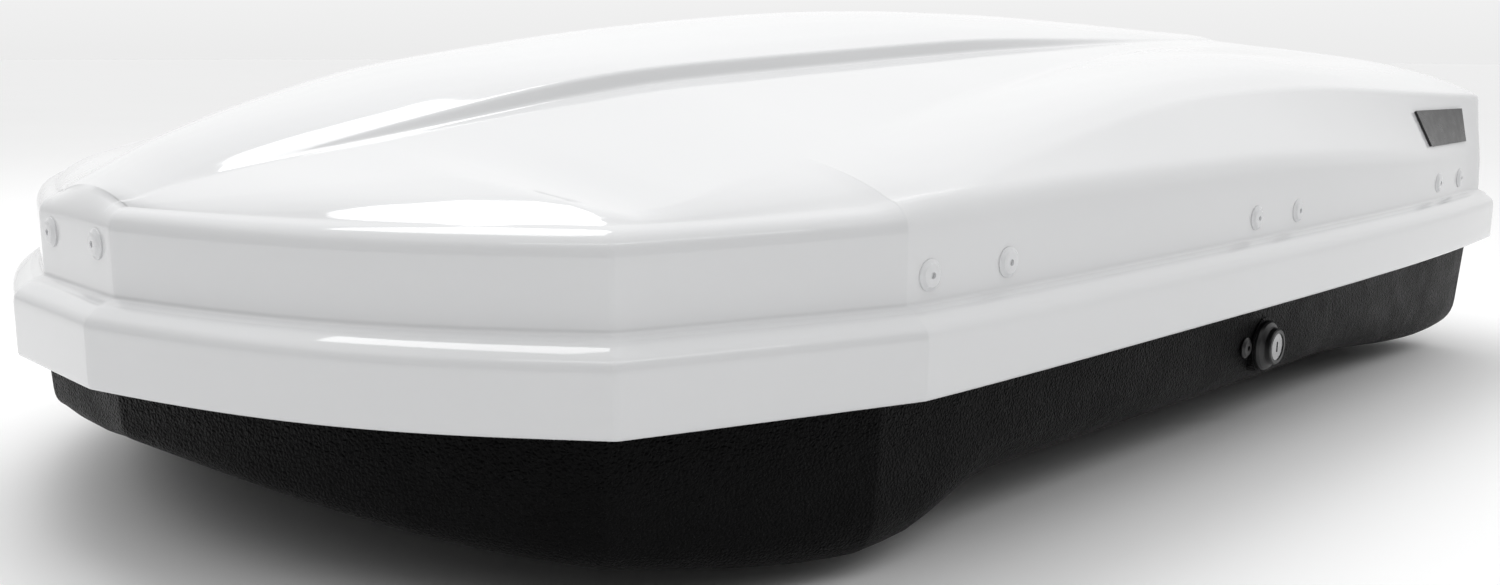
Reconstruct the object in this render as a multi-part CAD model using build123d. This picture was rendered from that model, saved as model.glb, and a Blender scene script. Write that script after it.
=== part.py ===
from build123d import *
import math
import os

os.makedirs("parts", exist_ok=True)

# ---------------------------------------------------------------------------
# Roof cargo box, closed.  Millimetres, +Z up, nose towards -X, lock side
# towards -Y, hinge side towards +Y.  Origin: bottom centre of the box.
# ---------------------------------------------------------------------------

# Driving dimensions -----------------------------------------------------------
MODULE = 54.0            # height of the lid skirt, from its lower edge to the foot of the upper wall
LENGTH_U = 26.5          # overall length in modules (1431 mm)
SKIRT_Z = 130.0          # height of the lid skirt's lower edge above the lowest point of the tub
WALL = 4.0               # thickness of the thermoformed shells
LEDGE = 0.38             # width of the ledge between skirt and upper wall, in modules
BASE_INSET = 0.58        # tub wall inside the skirt, in modules, at skirt level
BASE_DRAFT = 0.055       # extra inset per module of depth
RIM_Z_U = 0.80           # top of the tub rim, in modules above the skirt's lower edge

HINGE_Y, HINGE_Z = 434.0, 137.0      # lid hinge axis, parallel to X
HINGE_X = (-200.0, 100.0, 400.0)     # hinge positions
LID_OPEN_DEG = 48.0

STRUT_X = (-211.0, 393.0)            # planes of the two gas struts
STRUT_BASE = (252.7, 58.0)           # lower pivot (Y, Z)
STRUT_LID = (388.0, 212.0)           # upper pivot (Y, Z), lid closed

LOCK_X = 153.8                       # lock barrel axis
LOCK_Z = 83.2
BARREL_R = 12.0
LOCK_TRAVEL = 22.6                   # travel of the lock rail for a quarter turn
CATCH_X = (-190.0, 60.0, 500.0)

BRACE_U = (7.68, 15.73, 24.07)       # lid cross braces, modules from the nose
RIVET_PITCH = 80.0
RIVET_Z = 202.1
NOSE_RIVET_Z = 216.5
RIVET_R = 10.2

SLOT_R = 3.5                         # mounting slots: half width
SLOT_LEN = 200.0
SLOT_DX = 340.0                      # front to rear slot centres
SLOT_Y = (240.0, 320.0)              # inner and outer row
SLOT_X0 = 92.0                       # centre of the slot pattern


def X(u):
    return MODULE * u - MODULE * LENGTH_U / 2


def ZZ(u):
    return MODULE * u + SKIRT_Z


def interp(table, x):
    if x <= table[0][0]:
        return table[0][1]
    for (a, fa), (b, fb) in zip(table[:-1], table[1:]):
        if x <= b:
            return fa + (fb - fa) * (x - a) / (b - a)
    return table[-1][1]


# Plan outline of the skirt (half width against distance from the nose, modules)
PLAN = [
    (0.00, 1.21), (0.24, 2.06), (0.53, 2.97), (0.84, 3.74), (1.16, 4.43),
    (1.50, 5.04), (1.86, 5.59), (2.23, 6.10), (2.62, 6.58), (2.98, 7.03),
    (6.48, 8.22), (8.50, 8.31), (10.5, 8.36), (12.5, 8.41), (15.2, 8.46),
    (18.8, 8.50), (22.0, 8.47), (24.5, 8.36), (26.5, 8.22),
]


def plan(inset):
    """Closed outline, mitred inwards by inset modules, as mm points."""
    near = [(x, -y) for x, y in PLAN]
    far = [(x, y) for x, y in reversed(PLAN)]
    pts = near + far
    n = len(pts)
    out = []
    for i in range(n):
        ax, ay = pts[i - 1]
        bx, by = pts[i]
        cx, cy = pts[(i + 1) % n]
        d1 = math.hypot(bx - ax, by - ay)
        d2 = math.hypot(cx - bx, cy - by)
        n1 = (-(by - ay) / d1, (bx - ax) / d1)
        n2 = (-(cy - by) / d2, (cx - bx) / d2)
        k = 1 + n1[0] * n2[0] + n1[1] * n2[1]
        out.append((bx + inset * (n1[0] + n2[0]) / k, by + inset * (n1[1] + n2[1]) / k))
    return [(X(x), MODULE * y) for x, y in out]


def half_width(x_mm, inset=0.0):
    """Half width (mm) of the outline at a length position (mm)."""
    pts = [p for p in plan(inset) if p[1] < 0]
    return interp(sorted((p[0], -p[1]) for p in pts), x_mm)


def wall_frame(x_mm, inset):
    """Point on the near wall at x and its outward unit normal (2-D)."""
    y = -half_width(x_mm, inset)
    ya = -half_width(x_mm - 5, inset)
    yb = -half_width(x_mm + 5, inset)
    t = (10.0, yb - ya)
    d = math.hypot(*t)
    return (x_mm, y), (t[1] / d, -t[0] / d)


# How far the tub's outline below the lid's skirt departs from an even inset, along X (modules)
TUB_SHIFT = [(0.5, -0.15), (3.3, -0.09), (6.6, -0.18), (10.0, -0.10), (14.0, 0.0), (22.0, 0.0), (24.5, 0.12), (25.9, 0.30)]


def wire_at(inset, z_mm, k=0.0):
    pts = [(x + k * MODULE * interp(TUB_SHIFT, (x + MODULE * LENGTH_U / 2) / MODULE), y, z_mm) for x, y in plan(inset)]
    return Wire.make_polygon([Vector(*p) for p in pts], close=True)


def stack(levels):
    """Closed solid through the plan outline at several (inset, z) or (inset, z, share of the tub's shift) levels."""
    body = None
    for a, b in zip(levels[:-1], levels[1:]):
        piece = Solid.make_loft([wire_at(*a), wire_at(*b)], ruled=True)
        body = piece if body is None else body.fuse(piece)
    return body


# Roof: creases as (distance from nose, half width) and (distance, height) ------
SPINE = [(-0.5, 1.95), (0.38, 2.13), (1.0, 2.42), (1.6, 2.72), (2.36, 3.00), (3.41, 3.30), (4.96, 3.67), (6.68, 3.93),
         (8.62, 4.19), (10.8, 4.40), (13.4, 4.58), (15.5, 4.64), (18.0, 4.63), (19.9, 4.60), (22.0, 4.53), (24.1, 4.46), (27.0, 4.36)]
HOOD_Y = [(-0.5, 0.75), (0.38, 0.98), (1.0, 1.19), (2.0, 1.57), (3.0, 2.08), (4.0, 2.44), (5.0, 2.62), (6.0, 2.80), (8.0, 3.05),
          (10.0, 3.15), (13.0, 3.12), (16.0, 3.00), (20.0, 2.60), (24.0, 2.00), (27.0, 1.55)]
HOOD_Z = [(-0.5, 1.72), (0.38, 2.00), (0.6, 2.09), (1.1, 2.28), (1.64, 2.43), (2.24, 2.57), (2.9, 2.72), (3.67, 2.86), (4.55, 3.04),
          (5.66, 3.24), (7.16, 3.42), (8.9, 3.54), (11.1, 3.67), (12.5, 3.76), (14.7, 3.86), (17.6, 3.95), (20.5, 4.05), (23.7, 4.15), (27.0, 4.19)]
KEEL_Y = [(3.2, 6.72), (3.7, 6.63), (5.0, 6.45), (6.6, 6.20), (9.0, 5.70), (12.85, 4.86), (16.7, 4.03), (18.65, 3.64), (21.84, 3.08), (26.2, 2.70), (27.0, 2.65)]
KEEL_Z = [(3.2, 2.03), (3.7, 2.19), (5.0, 2.40), (6.6, 2.62), (9.0, 2.90), (12.85, 3.35), (16.7, 3.74), (18.65, 3.88), (21.84, 3.99), (26.2, 4.06), (27.0, 4.07)]
SHOULDER_Y = [(6.5, 7.82), (7.5, 7.70), (8.9, 7.50), (11.4, 7.22), (13.7, 7.03), (16.4, 6.95), (19.2, 7.05), (23.2, 7.42), (25.4, 7.66), (27.0, 7.72)]
SHOULDER_Z = [(6.5, 2.09), (7.5, 2.24), (8.9, 2.43), (11.4, 2.74), (13.7, 3.05), (16.4, 3.21), (19.2, 3.25), (23.2, 3.12), (25.4, 3.03), (27.0, 2.98)]
WALLTOP_Z = [(0.0, 2.00), (3.2, 2.02), (6.5, 2.07), (8.35, 2.15), (10.0, 2.20), (15.0, 2.20), (19.0, 2.07), (22.0, 1.92), (25.3, 1.72), (27.0, 1.62)]
RISER_W, RISER_H = 0.12, 0.10
STATIONS = [-0.4, 0.38, 0.7, 1.1, 1.64, 2.3, 3.2, 3.9, 5.0, 6.5, 7.7, 9.0, 11.1, 12.9, 14.8, 16.6, 18.4, 20.3, 22.2, 23.3, 24.4, 25.4, 26.9]


def wall_half(u):
    """Half width of the upper wall in modules at u modules from the nose."""
    return half_width(X(max(u, 0.42)), LEDGE) / MODULE


def section(u):
    """Half section of the roof at u: (y, z) in modules, from the spine outwards."""
    zs, g, zg = interp(SPINE, u), interp(HOOD_Y, u), interp(HOOD_Z, u)
    w, zw = wall_half(u), interp(WALLTOP_Z, u)
    ramp = min(1.0, max(0.0, (u - 0.6) / 1.5))
    zt = zg + RISER_H * ramp
    pts = [(0.0, zs), (0.45 * g, zs - 0.20 * (zs - zt)), (0.80 * g, zs - 0.62 * (zs - zt)), (g - 0.02, zt), (g + RISER_W, zg)]
    y0 = g + RISER_W
    if u < 3.2:
        k, zk = y0 + 0.45 * (w - y0), None
    else:
        k, zk = interp(KEEL_Y, u), interp(KEEL_Z, u)
    if u < 6.5:
        s, zsh = w - 0.02, zw + 0.01
    else:
        s, zsh = min(interp(SHOULDER_Y, u), w - 0.05), interp(SHOULDER_Z, u)
    if zk is None:
        zk = zg + (zsh - zg) * 0.45 + 0.05 * ramp
    if k > s - 0.1:
        k = s - 0.1
        zk = min(zk, zsh + 0.04)
    bulge = 0.22 * min(1.0, max(0.0, (u - 6.5) / 12.0)) + 0.03
    pts.append((k, zk))
    for f, b in ((0.45, 1.0), (0.78, 0.95)):
        pts.append((k + f * (s - k), zk + f * (zsh - zk) + b * bulge * min(1.0, (s - k))))
    pts.append((s, zsh))
    slope = (zsh - zw) / (w - s)
    slope = min(max(slope, 0.3), 14.0)
    pts.append((w, zsh - slope * (w - s)))
    pts.append((w + 0.12, zsh - slope * (w + 0.12 - s)))
    return pts


def inset_line(pts, d):
    """Half section moved inwards by d (same units), keeping the point count."""
    full = [(-pts[1][0], pts[1][1])] + pts
    out = []
    for i in range(1, len(full)):
        ax, ay = full[i - 1]
        bx, by = full[i]
        cx, cy = full[i + 1] if i + 1 < len(full) else (2 * bx - ax, 2 * by - ay)
        d1, d2 = math.hypot(bx - ax, by - ay), math.hypot(cx - bx, cy - by)
        n1 = ((by - ay) / d1, -(bx - ax) / d1)
        n2 = ((cy - by) / d2, -(cx - bx) / d2)
        k = max(0.5, 1 + n1[0] * n2[0] + n1[1] * n2[1])
        out.append((bx + d * (n1[0] + n2[0]) / k, by + d * (n1[1] + n2[1]) / k))
    out[0] = (0.0, out[0][1])
    return out


def roof_wire(u, d_mm):
    pts = section(u)
    if d_mm:
        pts = inset_line(pts, d_mm / MODULE)
    right = [(y, z) for y, z in pts]
    low = right[-1][1]
    edge = (right[-1][0] + 0.02, min(low - 1.0, -4.0))
    right.append(edge)
    left = [(-y, z) for y, z in reversed(right[1:])]
    loop = left + right
    return Wire.make_polygon([Vector(X(u), MODULE * y, ZZ(z)) for y, z in loop], close=True)


def roof_block(d_mm):
    wires = [roof_wire(u, d_mm) for u in STATIONS]
    return Solid.make_loft(wires, ruled=True)


def as_solid(shape):
    s = shape.solids()
    return s[0] if len(s) == 1 else Compound(s)


# Lid shell --------------------------------------------------------------------
t = WALL / MODULE
upper = stack([(LEDGE, ZZ(0.90)), (LEDGE, ZZ(5.2))]).intersect(roof_block(0.0))
skirt = stack([(0.0, ZZ(0.0)), (0.0, ZZ(0.74)), (0.04, ZZ(0.83)), (0.12, ZZ(0.885)), (LEDGE, ZZ(1.0))])
lid_outer = upper.solids()[0].fuse(skirt)
upper_in = stack([(LEDGE + t, ZZ(-0.6)), (LEDGE + t, ZZ(5.2))]).intersect(roof_block(WALL))
skirt_in = stack([(t, ZZ(-0.6)), (t, ZZ(0.74)), (0.04 + t, ZZ(0.79)), (0.12 + t, ZZ(0.82)), (LEDGE + t + 0.02, ZZ(1.0) - WALL)])
lid_inner = upper_in.solids()[0].fuse(skirt_in)
lid_shell = lid_outer.solids()[0].cut(lid_inner.solids()[0])

# Tub (base) shell ---------------------------------------------------------------
FLOOR = [(-0.6, -0.40), (0.45, -0.79), (1.5, -1.16), (2.3, -1.43), (3.3, -1.69), (5.0, -2.08), (6.2, -2.33), (7.0, -2.407), (8.3, -2.407),
         (9.45, -1.70), (20.5, -1.70), (23.6, -2.407), (25.35, -2.407), (25.75, -2.2), (27.2, -0.9)]


def floor_block(raise_u):
    low = [(x, z + raise_u) for x, z in FLOOR]
    pts = [(X(x), ZZ(z)) for x, z in low] + [(X(27.2), ZZ(3.0)), (X(-0.6), ZZ(3.0))]
    return extrude(Face(Wire.make_polygon([Vector(x, 600, z) for x, z in pts], close=True)), amount=1200, dir=(0, -1, 0)).solids()[0]


DEPTH = -2.6
tub_outer = stack([(BASE_INSET - BASE_DRAFT * DEPTH, ZZ(DEPTH), 1.0), (BASE_INSET, ZZ(0.0), 1.0), (BASE_INSET, ZZ(0.45)), (BASE_INSET, ZZ(RIM_Z_U))]).intersect(floor_block(0.0))
tub_inner = stack([(BASE_INSET - BASE_DRAFT * DEPTH + t, ZZ(DEPTH), 1.0), (BASE_INSET + t, ZZ(0.0), 1.0), (BASE_INSET + t, ZZ(0.45)), (BASE_INSET + t, ZZ(RIM_Z_U) + 20)]).intersect(floor_block(t))
rim = stack([(BASE_INSET, ZZ(RIM_Z_U) - 4), (BASE_INSET, ZZ(RIM_Z_U))]).cut(stack([(BASE_INSET + 0.21, ZZ(RIM_Z_U) - 10), (BASE_INSET + 0.21, ZZ(RIM_Z_U) + 10)]))
base_shell = tub_outer.solids()[0].cut(tub_inner.solids()[0]).fuse(rim.solids()[0])


def cyl_y(x, y0, y1, z, r):
    """Cylinder along Y from y0 to y1."""
    lo, hi = min(y0, y1), max(y0, y1)
    return Solid.make_cylinder(r, hi - lo, Plane(origin=(x, lo, z), x_dir=(1, 0, 0), z_dir=(0, 1, 0)))


def cyl_x(y, x0, x1, z, r):
    return Solid.make_cylinder(r, x1 - x0, Plane(origin=(x0, y, z), x_dir=(0, 1, 0), z_dir=(1, 0, 0)))


def box(x0, x1, y0, y1, z0, z1):
    return Solid.make_box(x1 - x0, y1 - y0, z1 - z0, Plane(origin=(x0, y0, z0)))


# Lock seat on the near wall
LOCK_WALL_Y = -half_width(LOCK_X, BASE_INSET + BASE_DRAFT * 0.87)
SEAT_Y = LOCK_WALL_Y - 2.2
SEAT_IN_Y = LOCK_WALL_Y + WALL + 2.2
seat = cyl_y(LOCK_X, SEAT_Y, SEAT_IN_Y, LOCK_Z, 25.0)
base_shell = base_shell.fuse(seat).cut(cyl_y(LOCK_X, SEAT_Y - 10, SEAT_IN_Y + 10, LOCK_Z, 16.2))
# small rivet hole beside the lock
CASE_RIVET_X, CASE_RIVET_Z = X(15.456), ZZ(-0.822)
base_shell = base_shell.cut(cyl_y(CASE_RIVET_X, LOCK_WALL_Y - 20, LOCK_WALL_Y + 20, CASE_RIVET_Z, 3.2))


def slot_tool(x, y, z0, z1):
    half = SLOT_LEN / 2 - SLOT_R
    s = box(x - half, x + half, y - SLOT_R, y + SLOT_R, z0, z1)
    for sx in (-1, 1):
        s = s.fuse(Solid.make_cylinder(SLOT_R, z1 - z0, Plane(origin=(x + sx * half, y, z0))))
    return s


FLOOR_Z = ZZ(-1.70)
for sx in (-1, 1):
    for sy in (-1, 1):
        for yy in SLOT_Y:
            base_shell = base_shell.cut(slot_tool(SLOT_X0 + sx * SLOT_DX / 2, sy * yy, FLOOR_Z - 5, FLOOR_Z + 12))


def floor_rail(sign):
    """Pressed steel strip with upturned edges, slotted like the floor under it."""
    z0 = FLOOR_Z + WALL
    x0, x1 = SLOT_X0 - 276, SLOT_X0 + 276
    y0, y1 = sorted((sign * (SLOT_Y[0] - 30), sign * (SLOT_Y[1] + 30)))
    r = box(x0, x1, y0, y1, z0, z0 + 2.5)
    r = r.fuse(box(x0, x1, y0, y0 + 2.5, z0, z0 + 9)).fuse(box(x0, x1, y1 - 2.5, y1, z0, z0 + 9))
    for sx in (-1, 1):
        for yy in SLOT_Y:
            r = r.cut(slot_tool(SLOT_X0 + sx * SLOT_DX / 2, sign * yy, z0 - 2, z0 + 6))
    return r


# Rim seal ------------------------------------------------------------------------
rim_seal = stack([(BASE_INSET + 0.03, ZZ(RIM_Z_U)), (BASE_INSET + 0.06, ZZ(RIM_Z_U) + 4.4)]).cut(
    stack([(BASE_INSET + 0.20, ZZ(RIM_Z_U) - 5), (BASE_INSET + 0.20, ZZ(RIM_Z_U) + 9)]))


# Domed push rivets ------------------------------------------------------------------
def rivet(origin, normal, head_r=RIVET_R, head_h=3.2, shank_r=4.0, shank_l=9.0):
    """Domed head on the outer face, shank inwards, small centre recess."""
    p = Plane(origin=origin, x_dir=(0, 0, 1), z_dir=normal)
    prof = [(0, 0), (head_r, 0), (head_r, 0.9), (head_r * 0.86, 1.7), (head_r * 0.72, head_h * 0.88), (head_r * 0.5, head_h),
            (2.2, head_h), (2.2, head_h - 1.8), (0, head_h - 1.8)]
    f = Face(Wire.make_polygon([Vector(a, 0, b) for a, b in prof], close=True))
    h = Solid.revolve(f, 360, Axis.Z)
    h = h.fuse(Solid.make_cylinder(shank_r, shank_l + 0.5, Plane(origin=(0, 0, -shank_l))))
    return p.location * as_solid(h)


def side_rivet_frames(sign):
    out = []
    for u in BRACE_U:
        for s in (-1, 1):
            x = X(u) + s * RIVET_PITCH / 2
            (px, py), (nx, ny) = wall_frame(x, LEDGE)
            if sign > 0:
                py, ny = -py, -ny
            out.append(((px + nx * 0.05, py + ny * 0.05, RIVET_Z), (nx, ny, 0.0)))
    return out


NOSE_X = X(LEDGE)
nose_frames = [((NOSE_X - 0.05, s * 40.0, NOSE_RIVET_Z), (-1.0, 0.0, 0.0)) for s in (-1, 1)]


def hole_tool(origin, normal, r, depth):
    p = Plane(origin=tuple(o + n * 2 for o, n in zip(origin, normal)), x_dir=(0, 0, 1), z_dir=tuple(-n for n in normal))
    return Solid.make_cylinder(r, depth, p)


for frames in (side_rivet_frames(-1), side_rivet_frames(1), nose_frames):
    for o, n in frames:
        lid_shell = lid_shell.cut(hole_tool(o, n, 4.3, 12))

rivets_near = Compound([rivet(o, n) for o, n in side_rivet_frames(-1)])
rivets_far = Compound([rivet(o, n) for o, n in side_rivet_frames(1)])
rivets_nose = Compound([rivet(o, n) for o, n in nose_frames])


# Lid braces: strip arched under the roof, with riveted feet ---------------------------
def brace(u):
    xc = X(u)
    outer = inset_line(section(u), 9.5 / MODULE)[:-1]
    inner = inset_line(section(u), 12.5 / MODULE)[:-1]
    # leave out the riser step: keep a smooth arch under it
    keep = [0, 1, 2, 4, 5, 6, 7, 8]
    o = [(MODULE * outer[i][0], ZZ(outer[i][1])) for i in keep]
    i_ = [(MODULE * inner[i][0], ZZ(inner[i][1])) for i in keep]
    yw = min(half_width(xc - 48, LEDGE + t), half_width(xc + 48, LEDGE + t), half_width(xc, LEDGE + t)) - 0.4
    zf = RIVET_Z - 13.0
    o += [(yw, ZZ(interp(WALLTOP_Z, u)) - 8.0), (yw, zf)]
    i_ += [(yw - 3.0, ZZ(interp(WALLTOP_Z, u)) - 9.5), (yw - 3.0, zf)]
    loop = o + list(reversed(i_))
    half = extrude(Face(Wire.make_polygon([Vector(xc - 15, y, z) for y, z in loop], close=True)), amount=30, dir=(1, 0, 0)).solids()[0]
    other = half.mirror(Plane.XZ)
    b = half.fuse(other)
    for sy in (-1, 1):
        y0, y1 = sorted((sy * (yw - 3.0), sy * yw))
        foot = box(xc - 52, xc + 52, y0, y1, RIVET_Z - 13, RIVET_Z + 13)
        b = b.fuse(foot)
        for sx in (-1, 1):
            x = xc + sx * RIVET_PITCH / 2
            (px, py), (nx, ny) = wall_frame(x, LEDGE)
            if sy > 0:
                py, ny = -py, -ny
            b = b.cut(hole_tool((px, py, RIVET_Z), (nx, ny, 0.0), 4.4, 18))
    return as_solid(b)


braces = [brace(u) for u in BRACE_U]

# Nose stiffener behind the tip rivets
nx0 = X(LEDGE) + WALL + 0.2
nose_plate = box(nx0, nx0 + 3, -50, 50, 196, 226).fuse(box(nx0, nx0 + 46, -34, 34, 196, 199)).cut(
    cyl_x(-40, nx0 - 5, nx0 + 9, NOSE_RIVET_Z, 4.4)).cut(cyl_x(40, nx0 - 5, nx0 + 9, NOSE_RIVET_Z, 4.4))


# Hinges ---------------------------------------------------------------------------------
def hinge(xc):
    yb = max(half_width(xc - 32, BASE_INSET), half_width(xc + 32, BASE_INSET), half_width(xc, BASE_INSET)) + 0.2
    ys = min(half_width(xc - 32, t), half_width(xc + 32, t), half_width(xc, t)) - 0.2
    zt = ZZ(RIM_Z_U) - 3
    base_leaf = box(xc - 30, xc + 30, yb, yb + 2.6, HINGE_Z - 3, zt)
    for a, b in ((-30, -10.3), (10.3, 30)):
        base_leaf = base_leaf.fuse(box(xc + a, xc + b, yb, HINGE_Y, HINGE_Z - 3, HINGE_Z + 3))
        base_leaf = base_leaf.fuse(cyl_x(HINGE_Y, xc + a, xc + b, HINGE_Z, 5.0))
    base_leaf = base_leaf.cut(cyl_x(HINGE_Y, xc - 40, xc + 40, HINGE_Z, 2.55))
    base_leaf = base_leaf.cut(cyl_x(HINGE_Y, xc - 10.3, xc + 10.3, HINGE_Z, 5.6))
    lid_leaf = box(xc - 30, xc + 30, ys - 2.6, ys, HINGE_Z + 3.2, zt - 2)
    lid_leaf = lid_leaf.fuse(box(xc - 10, xc + 10, HINGE_Y, ys, HINGE_Z - 3, HINGE_Z + 3))
    lid_leaf = lid_leaf.fuse(box(xc - 10, xc + 10, ys - 2.6, ys, HINGE_Z - 3, HINGE_Z + 12))
    lid_leaf = lid_leaf.fuse(cyl_x(HINGE_Y, xc - 10, xc + 10, HINGE_Z, 5.0))
    lid_leaf = lid_leaf.cut(cyl_x(HINGE_Y, xc - 40, xc + 40, HINGE_Z, 2.55))
    pin = cyl_x(HINGE_Y, xc - 32, xc + 32, HINGE_Z, 2.5)
    return as_solid(base_leaf), as_solid(lid_leaf), pin


hinges = [hinge(x) for x in HINGE_X]

# Gas struts --------------------------------------------------------------------------------
by, bz = STRUT_BASE
ly, lz = STRUT_LID
s_len = math.hypot(ly - by, lz - bz)
s_dir = ((ly - by) / s_len, (lz - bz) / s_len)


def along(xc, a, b, r):
    """Cylinder of radius r on the strut line from distance a to b."""
    o = (xc, by + s_dir[0] * a, bz + s_dir[1] * a)
    return Solid.make_cylinder(r, b - a, Plane(origin=o, x_dir=(1, 0, 0), z_dir=(0, s_dir[0], s_dir[1])))


def tub_floor_z(x_mm, y_mm=0):
    u = (x_mm + MODULE * LENGTH_U / 2) / MODULE
    return ZZ(interp(FLOOR, u)) + WALL


def strut(xc):
    tube = along(xc, 12, 152, 9.0).cut(along(xc, 18, 145, 7.0)).cut(along(xc, 140, 160, 4.05))
    eye = cyl_x(by, xc - 4, xc + 4, bz, 8.0)
    neck = along(xc, 5, 14, 3.9)
    cyl = tube.fuse(eye).fuse(neck).cut(cyl_x(by, xc - 20, xc + 20, bz, 3.05))
    eye_l = cyl_x(ly, xc - 4, xc + 4, lz, 12.0)
    rod = along(xc, 60, s_len - 8, 4.0).fuse(along(xc, 60, 72, 6.6)).fuse(eye_l).fuse(along(xc, s_len - 30, s_len - 8, 5.5))
    rod = rod.cut(cyl_x(ly, xc - 20, xc + 20, lz, 7.7))
    # lower bracket: two cheeks with a pin, on the tub floor
    zf = tub_floor_z(xc)
    zf = max(tub_floor_z(xc - 22), tub_floor_z(xc + 22), zf) + 0.1
    br = box(xc - 20, xc + 20, by - 18, by + 18, zf, zf + 3)
    for s in (-1, 1):
        a, b = sorted((xc + s * 5, xc + s * 8))
        br = br.fuse(box(a, b, by - 8, by + 8, zf, bz)).fuse(cyl_x(by, a, b, bz, 8.0))
    br = br.fuse(cyl_x(by, xc - 8, xc + 8, bz, 3.0))
    # upper bracket on the lid wall: plate, arm and stud
    yw = min(half_width(xc - 25, LEDGE + t), half_width(xc + 25, LEDGE + t), half_width(xc, LEDGE + t)) - 0.8
    ub = box(xc - 24, xc + 24, yw - 3, yw, 190, 222)
    ub = ub.fuse(box(xc + 6, xc + 9, ly - 7, yw, lz - 7, lz + 7)).fuse(box(xc + 6, xc + 9, yw - 16, yw, 192, 220))
    ub = ub.fuse(cyl_x(ly, xc - 7, xc + 9, lz, 4.0)).fuse(cyl_x(ly, xc - 9, xc - 7, lz, 9.0))
    return as_solid(cyl), as_solid(rod), as_solid(br), as_solid(ub)


struts = [strut(x) for x in STRUT_X]

# Lock ------------------------------------------------------------------------------------------
y_out = SEAT_Y
FACE_Y = y_out - 12.0
flange = Face(Wire.make_polygon([Vector(a, 0, b) for a, b in [(12.08, 0), (22.0, 0), (22.0, 2.2), (20.6, 4.2), (17.4, 6.0), (16.2, 7.0), (15.8, 11.0), (14.8, 12.0), (12.08, 12.0)]], close=True))
flange = Solid.revolve(flange, 360, Axis.Z)
lock_pl = Plane(origin=(LOCK_X, y_out, LOCK_Z), x_dir=(1, 0, 0), z_dir=(0, -1, 0))
lock_housing = (lock_pl.location * as_solid(flange)).fuse(cyl_y(LOCK_X, y_out, y_out + 22, LOCK_Z, 15.9).cut(cyl_y(LOCK_X, y_out - 5, y_out + 30, LOCK_Z, 12.08)))
CAM_Y0 = y_out + 22.6
barrel = cyl_y(LOCK_X, FACE_Y + 0.8, CAM_Y0, LOCK_Z, BARREL_R - 0.03).fuse(cyl_y(LOCK_X, CAM_Y0, CAM_Y0 + 5, LOCK_Z, 6.0))
barrel = barrel.cut(box(LOCK_X - 1.3, LOCK_X + 1.3, FACE_Y - 2, FACE_Y + 9, LOCK_Z - 4.6, LOCK_Z + 4.6))
PIN_R = 16.0
a0 = math.radians(135.0)   # crank pin up and towards the nose when unlocked
pin_c = (LOCK_X + PIN_R * math.cos(a0), LOCK_Z + PIN_R * math.sin(a0))
arm = cyl_y(LOCK_X, CAM_Y0 + 0.2, CAM_Y0 + 4.2, LOCK_Z, 12.0).fuse(cyl_y(pin_c[0], CAM_Y0 + 0.2, CAM_Y0 + 4.2, pin_c[1], 6.0))
web_mid = ((LOCK_X + pin_c[0]) / 2, (LOCK_Z + pin_c[1]) / 2)
web = Plane(origin=(web_mid[0], CAM_Y0 + 2.2, web_mid[1]), x_dir=(math.cos(a0), 0, math.sin(a0)), z_dir=(0, 1, 0)).location * Solid.make_box(PIN_R, 12, 4, Plane(origin=(-PIN_R / 2, -6, -2)))
lock_cam = arm.fuse(web).fuse(cyl_y(pin_c[0], CAM_Y0 + 0.2, CAM_Y0 + 10.5, pin_c[1], 3.0)).cut(cyl_y(LOCK_X, CAM_Y0 - 5, CAM_Y0 + 8, LOCK_Z, 6.05))
RAIL_Y0 = CAM_Y0 + 5.6
RAIL_Y1 = RAIL_Y0 + 3.0
RAIL_Z0, RAIL_Z1 = LOCK_Z + 2.0, LOCK_Z + 26.0
rail = box(CATCH_X[0] - 60, CATCH_X[2] + 10, RAIL_Y0, RAIL_Y1, RAIL_Z0, RAIL_Z1)
rail = rail.cut(box(pin_c[0] - 3.7, pin_c[0] + 3.7, RAIL_Y0 - 2, RAIL_Y1 + 2, LOCK_Z + 6.6, LOCK_Z + 20.6))
FINGER_Z = 163.0
for xh in CATCH_X:
    rail = rail.fuse(box(xh - 46, xh - 33, RAIL_Y0, RAIL_Y1, RAIL_Z0, FINGER_Z + 6))
    rail = rail.fuse(box(xh - 46, xh - 6, RAIL_Y0, RAIL_Y1, FINGER_Z, FINGER_Z + 6))
lock_rail = as_solid(rail)


def guide(xc):
    """Bracket on the tub's near wall that the rail slides in."""
    yw = -(min(half_width(xc - 12, BASE_INSET + t + BASE_DRAFT * 1.02), half_width(xc + 12, BASE_INSET + t + BASE_DRAFT * 1.02)) - 0.4)
    g = box(xc - 10, xc + 10, yw, RAIL_Y1 + 4.0, RAIL_Z0 - 5, RAIL_Z1 + 5)
    g = g.cut(box(xc - 20, xc + 20, RAIL_Y0 - 0.4, RAIL_Y1 + 0.4, RAIL_Z0 - 0.5, RAIL_Z1 + 0.5))
    # draft of the wall: keep the back face clear
    return g.cut(box(xc - 20, xc + 20, yw - 1, yw + 1.4, RAIL_Z0 - 9, LOCK_Z + 8))


guides = [guide(x) for x in (CATCH_X[0] + 60, 85.0, CATCH_X[2] - 100)]
rail_guides = Compound([as_solid(g) for g in guides])

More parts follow.
